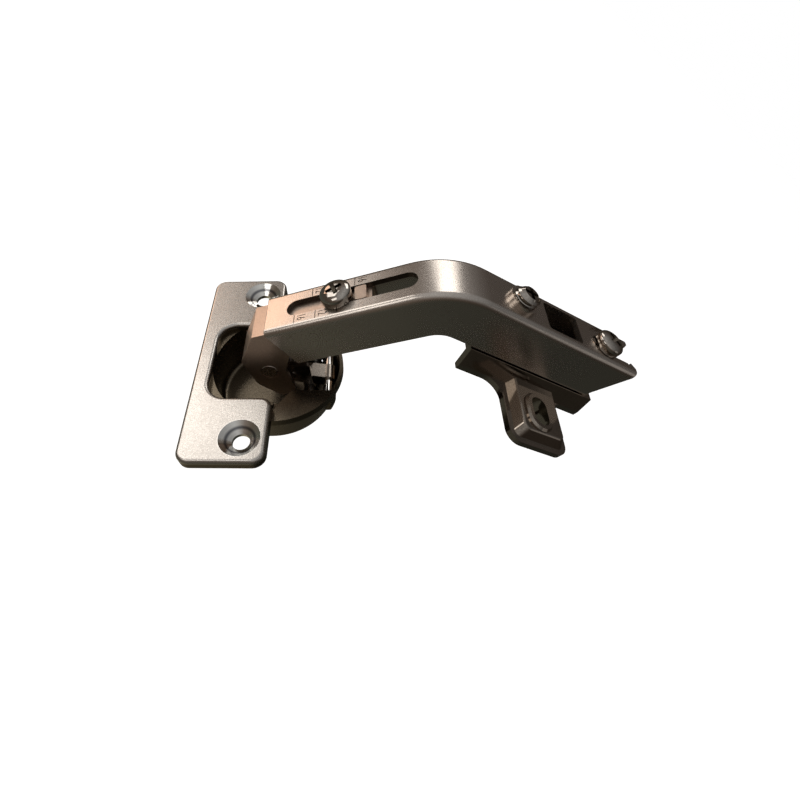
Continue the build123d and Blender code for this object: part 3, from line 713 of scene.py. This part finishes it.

# %% [markdown]
# ## Stamped scale on the arm
# The front leg carries a small scale beside its slot: numbers with a stroke each, struck into the sheet.
# They are cut from a copy of the arm, so that light falls into real grooves, and the groove faces take a dark
# colour as painted shade. Plain text objects become meshes, are placed in the leg's frame and are cut with a
# Boolean each. The walls of the slot and the front edge were sheared by the press, so they keep a rougher skin
# than the rolled faces, and they are coloured dark as a painted shade: the shade in the slot and the line of
# shadow along the front edge.

# %% Numbers and strokes as cutters
CLAMP_ALONG = 17.4 * MM     # from the leg's front edge to the clamp screw
NEAR_MARKS = ((8.15, "16"), (13.15, "12"), (18.15, "8"))    # mm from the front edge, and the number
FAR_MARKS = ((12.15, "12"), (22.15, "16"))
NEAR_SIDE = -2.45 * MM
FAR_SIDE = 4.85 * MM
DIGIT_HEIGHT = 2.1 * MM
DIGIT_NARROWING = 0.62
TEXT_SIZE = 1.4             # a text object's size for each unit of its digits' height
STAMP_DEPTH = 0.14 * MM
STROKE_WIDTH = 0.2 * MM
STROKE_LENGTH = 2.3 * MM
STROKE_LEAD = 0.7 * MM
MERGE_REACH = 0.001 * MM
READING = Matrix(((0, 1, 0, 0), (-1, 0, 0, 0), (0, 0, 1, 0), (0, 0, 0, 1)))


def on_leg(along, across):
    """A place on the front leg's top face, measured from the clamp screw."""
    return leg_frame @ Matrix.Translation((along, across, 0))


def merge_points(piece):
    """Close the seams between faces that only touch."""
    select_all(piece)
    bpy.ops.mesh.remove_doubles(threshold=MERGE_REACH)
    leave_edit()


def number_cutter(word, along, across):
    """A struck number whose digits read towards the near side, with their tops towards the crank."""
    text = start_from(bpy.ops.object.text_add)
    text.data.body = word
    text.data.size = DIGIT_HEIGHT * TEXT_SIZE
    text.data.extrude = STAMP_DEPTH
    pick(text)
    bpy.ops.object.convert(target="MESH")
    number = bpy.context.object
    merge_points(number)
    narrow = Matrix.Diagonal((DIGIT_NARROWING, 1, 1, 1))
    return place_mesh(number, on_leg(along, across) @ READING @ narrow)


def stroke_cutter(along, across):
    """A straight stroke beside a number."""
    stroke = start_from(bpy.ops.mesh.primitive_cube_add, size=1)
    size = Matrix.Diagonal((STROKE_WIDTH, STROKE_LENGTH, STAMP_DEPTH * 2, 1))
    return place_mesh(stroke, on_leg(along, across - STROKE_LENGTH / 2) @ size)


print("scale of", len(NEAR_MARKS) + len(FAR_MARKS), "numbers")

# %% Sheared edges of the arm
FRONT_CHAMFER = 0.3 * MM
BAR_LENGTH = 13 * MM                    # a little more than the leg's width
SLOT_HALF = 2.35 * MM
SLOT_REACH = (-12.5 * MM, 18.5 * MM)    # the slot's ends, before and behind the clamp screw
WALL_SLACK = 0.05 * MM
WALL_DEPTH = 2 * MM
WALL_TILT = 0.3                         # the most that a wall's normal may lean out of the sheet


def front_cutter():
    """A square bar laid on the front edge on its corner, which leaves a chamfer."""
    bar = start_from(bpy.ops.mesh.primitive_cube_add, size=1)
    thickness = FRONT_CHAMFER * math.sqrt(2)
    size = Matrix.Diagonal((thickness, BAR_LENGTH, thickness, 1))
    tip = Matrix.Rotation(math.radians(45), 4, "Y")
    return place_mesh(bar, on_leg(-CLAMP_ALONG, 0) @ tip @ size)


def darken_slot(piece, material):
    """Give the walls of the punched slot the sheared finish and its painted shade."""
    to_leg = leg_frame.inverted()
    turn = to_leg.to_3x3()

    def on_wall(centre, normal):
        spot = to_leg @ centre
        inside = abs(spot.y) < SLOT_HALF + WALL_SLACK and SLOT_REACH[0] < spot.x < SLOT_REACH[1]
        return inside and abs((turn @ normal).z) < WALL_TILT and spot.z > -WALL_DEPTH

    select_faces(piece, on_wall)
    piece.active_material_index = piece.data.materials.find(material.name)
    bpy.ops.object.material_slot_assign()
    leave_edit()


print("front chamfer", round(FRONT_CHAMFER / MM, 2), "mm")

# %% Cut the scale
ARM_SHARP = 30    # degrees past which an edge stays sharp


def copy_node(node, name):
    """A merged copy of a solid's mesh, ready to be cut."""
    piece = bpy.data.objects.new(name, frame["nodes"][node].data.copy())
    bpy.context.scene.collection.objects.link(piece)
    pick(piece)
    bpy.ops.mesh.customdata_custom_splitnormals_clear()
    merge_points(piece)
    return piece


stamped_arm = copy_node("bent_arm", "stamped_arm")
coat(stamped_arm, sheet)
for marks, across in ((NEAR_MARKS, NEAR_SIDE), (FAR_MARKS, FAR_SIDE)):
    for at, word in marks:
        along = at * MM - CLAMP_ALONG
        for cutter in (number_cutter(word, along, across), stroke_cutter(along - STROKE_LEAD, across)):
            # The cutter's painted-shade finish passes to the groove faces it leaves.
            coat(cutter, groove_shade)
            cut(stamped_arm, cutter)
front_bar = front_cutter()
# The chamfer takes the painted shade: a dark line of shadow along the front edge.
coat(front_bar, sheared_and_shaded)
cut(stamped_arm, front_bar)
darken_slot(stamped_arm, sheared_and_shaded)
smooth(stamped_arm, ARM_SHARP)
apply_modifier(stamped_arm, "WEIGHTED_NORMAL", mode="FACE_AREA", weight=100, keep_sharp=True)
stand_for(stamped_arm, "bent_arm", "arm", sheet)
print("stamped arm", len(stamped_arm.data.polygons), "faces", [m.name for m in stamped_arm.data.materials])

# %% [markdown]
# ## Round-wire springs
# The solids carry flat-sided wire to stay light. In view the wire is round: a circle is swept round the
# pin by a Screw modifier, and its first cap is drawn out into a straight leg.

# %% The closing springs
SPRING_WIRE = 0.8 * MM
SPRING_RADIUS = 1.95 * MM
SPRING_TURNS = 4
SPRING_PITCH = 1.0 * MM
SPRING_START = 5.3 * MM     # from the middle of the pin
SPRING_LEG = 4.2 * MM
SPRING_STEPS = 24           # faces in one turn
WIRE_SIDES = 12
WIRE_SHARP = 50             # degrees past which an edge stays sharp
CAP_SLACK = SPRING_WIRE / 8


def make_spring(side):
    """One coil on the link's cup pin; side is -1 on the near side and 1 on the far side."""
    start = side * SPRING_START
    spring = start_from(bpy.ops.mesh.primitive_circle_add, vertices=WIRE_SIDES, radius=SPRING_WIRE / 2)
    upright = Matrix.Rotation(math.radians(90), 4, "Y")
    place_mesh(spring, Matrix.Translation((0, start, -SPRING_RADIUS)) @ upright)
    apply_modifier(spring, "SCREW", axis="Y", angle=-math.tau, screw_offset=side * SPRING_PITCH,
                   iterations=SPRING_TURNS, steps=SPRING_STEPS, render_steps=SPRING_STEPS,
                   use_smooth_shade=True)
    close_ends(spring, WIRE_SIDES)

    def first_cap(centre, normal):
        close = abs(centre.y - start) < CAP_SLACK and abs(centre.x) < CAP_SLACK
        return close and abs(normal.x) > FACING and centre.z < 0

    select_faces(spring, first_cap)
    bpy.ops.mesh.extrude_region_move(TRANSFORM_OT_translate={"value": (-SPRING_LEG, 0, 0)})
    leave_edit()
    return spring


springs = join_pieces(make_spring(-1), make_spring(1), "round_wire_springs")
smooth(springs, WIRE_SHARP)
place_mesh(springs, tilted_frame(joints["cup_swing"]["pos_m"], cup_screws["axis"]))
stand_for(springs, "closing_springs", "cup", wire)
print("springs", len(springs.data.polygons), "faces")

# %% [markdown]
# ## Studio
# Metal shows its surroundings, so the light is arranged by what each face mirrors. The floor is plain and
# pale, and the room is dim and brown for the side walls, while the camera itself sees a white background.

# %% Floor and surroundings
FLOOR_SIZE = 6.0
FLOOR_DROP = 0.04    # room below for the cup to swing down
FLOOR_COLOUR = (0.9, 0.9, 0.9, 1)
FLOOR_ROUGHNESS = 0.9
FLOOR_GLOW = 0.8
PURE_WHITE = (1, 1, 1, 1)
ROOM_COLOURS = (     # from straight down at 0 to straight up at 1
    (0.06, (0.300, 0.270, 0.190)),
    (0.16, (0.120, 0.118, 0.094)),
    (0.30, (0.092, 0.096, 0.080)),
    (0.55, (0.100, 0.080, 0.062)),
    (0.72, (0.180, 0.150, 0.130)),
    (0.92, (0.450, 0.450, 0.450)),
)
DIMMING_FROM = -0.3    # where the room starts to get darker, from left at -1 to right at 1
DIMMING_TO = 0.6
DIMMEST = 0.35


def make_floor():
    """A pale plane that the metal doesn't mirror and that throws no shadow."""
    floor = start_from(bpy.ops.mesh.primitive_plane_add, size=FLOOR_SIZE,
                       location=(0, 0, solids_low.z - FLOOR_DROP))
    floor.name = "floor"
    material = bpy.data.materials.new("pale_floor")
    material.use_nodes = True
    shader = material.node_tree.nodes["Principled BSDF"]
    shader.inputs["Base Color"].default_value = FLOOR_COLOUR
    shader.inputs["Roughness"].default_value = FLOOR_ROUGHNESS
    shader.inputs["Emission Color"].default_value = PURE_WHITE
    shader.inputs["Emission Strength"].default_value = FLOOR_GLOW
    coat(floor, material)
    floor.visible_glossy = False
    floor.visible_shadow = False
    return floor


def ramp_of(tree, value, stops):
    """A colour ramp with the given (position, colour) stops."""
    node = new_node(tree, "ShaderNodeValToRGB")
    elements = node.color_ramp.elements
    for element, (position, colour) in zip(elements, (stops[0], stops[-1])):
        element.position = position
        element.color = (*colour, 1)
    for position, colour in stops[1:-1]:
        elements.new(position).color = (*colour, 1)
    tree.links.new(value, node.inputs["Fac"])
    return node.outputs["Color"]


def make_surroundings():
    """A dim room, olive below and brown above, darker to the right; the camera itself sees plain white."""
    world = bpy.data.worlds.new("studio")
    bpy.context.scene.world = world
    world.use_nodes = True
    tree = world.node_tree
    tree.nodes.clear()
    place = new_node(tree, "ShaderNodeTexCoord").outputs["Generated"]
    split = new_node(tree, "ShaderNodeSeparateXYZ")
    tree.links.new(place, split.inputs["Vector"])
    height = spread(tree, split.outputs["Z"], -1.0, 1.0, 0.0, 1.0)
    room = ramp_of(tree, height, ROOM_COLOURS)
    across = spread(tree, split.outputs["X"], DIMMING_FROM, DIMMING_TO, 1.0, DIMMEST)
    dim = new_node(tree, "ShaderNodeMix", data_type="RGBA", blend_type="MULTIPLY")
    dim.inputs["Factor"].default_value = 1.0
    link_all(tree, (room, dim.inputs["A"]), (across, dim.inputs["B"]))
    dark = new_node(tree, "ShaderNodeBackground")
    tree.links.new(dim.outputs["Result"], dark.inputs["Color"])
    white = new_node(tree, "ShaderNodeBackground")
    white.inputs["Color"].default_value = PURE_WHITE
    seen = new_node(tree, "ShaderNodeLightPath").outputs["Is Camera Ray"]
    either = new_node(tree, "ShaderNodeMixShader")
    out = new_node(tree, "ShaderNodeOutputWorld")
    link_all(
        tree,
        (seen, either.inputs[0]),
        (dark.outputs["Background"], either.inputs[1]),
        (white.outputs["Background"], either.inputs[2]),
        (either.outputs["Shader"], out.inputs["Surface"]),
    )
    return world


floor = make_floor()
surroundings = make_surroundings()
bpy.context.scene.view_settings.view_transform = "Standard"
print(floor.name, "at", round(floor.location.z / MM, 1), "mm, world", surroundings.name)

# %% [markdown]
# ## Light panels
# Six soft panels stand round the hinge. A white one behind the crank lights the bend and a white one behind
# the flange lights the flange. A warm low one and a small white one beside it are what the front leg's top
# picks up. One at the near left draws the bright line along the near edges, and a faint one at the right
# fills the dark.

# %% Six panels
PANEL_DISTANCE = 0.55
STUDIO_CENTRE = Vector((-0.04, 0, -0.01))
WHITE = (1.0, 0.98, 0.95)
PEACH = (1.0, 0.66, 0.48)


def light_panel(name, direction, width, height, radiance, colour):
    """A soft panel that faces the hinge from a direction; radiance is its brightness as mirrored."""
    toward = Vector(direction).normalized()
    data = bpy.data.lights.new(name, "AREA")
    data.shape = "RECTANGLE"
    data.size = width
    data.size_y = height
    data.energy = radiance * math.pi * width * height
    data.color = colour
    panel = bpy.data.objects.new(name, data)
    panel.location = STUDIO_CENTRE + toward * PANEL_DISTANCE
    panel.rotation_euler = toward.to_track_quat("Z", "Y").to_euler()
    bpy.context.scene.collection.objects.link(panel)
    return panel


light_panel("crank_panel", (-0.05, 0.78, 0.62), 0.15, 0.28, 2.3, WHITE)
light_panel("flange_panel", (-0.80, 0.45, 0.42), 0.24, 0.24, 1.9, WHITE)
light_panel("warm_panel", (-0.68, 0.72, 0.10), 0.20, 0.12, 2.0, PEACH)
light_panel("leg_panel", (-0.59, 0.77, 0.27), 0.12, 0.08, 0.9, WHITE)
light_panel("edge_panel", (-0.80, -0.22, 0.55), 0.20, 0.20, 1.6, WHITE)
light_panel("far_panel", (0.75, -0.45, 0.50), 0.25, 0.25, 0.22, WHITE)
print("panels", [light.name for light in bpy.data.lights])

# %% [markdown]
# ## Camera
# The picture was taken close, with a wide lens, looking down on the flange from the near left. The lens and
# the shift come from the same straight edges that gave the sizes.

# %% Camera
CAMERA_PLACE = Vector((-0.0787, -0.0776, 0.0602))
CAMERA_TURN = (29.76, -26.60, 1.84)
CAMERA_LENS = 19.96
CAMERA_SENSOR = 36.0
CAMERA_SHIFT = (0.0752, 0.0595)
CAMERA_NEAREST = 0.005
camera_data = bpy.data.cameras.new("camera")
camera_data.lens = CAMERA_LENS
camera_data.sensor_width = CAMERA_SENSOR
camera_data.shift_x, camera_data.shift_y = CAMERA_SHIFT
camera_data.clip_start = CAMERA_NEAREST
camera = bpy.data.objects.new("camera", camera_data)
camera.location = CAMERA_PLACE
camera.rotation_euler = Euler([math.radians(angle) for angle in CAMERA_TURN], "XYZ")
bpy.context.scene.collection.objects.link(camera)
bpy.context.scene.camera = camera
print("camera lens", round(camera_data.lens, 2), "mm")
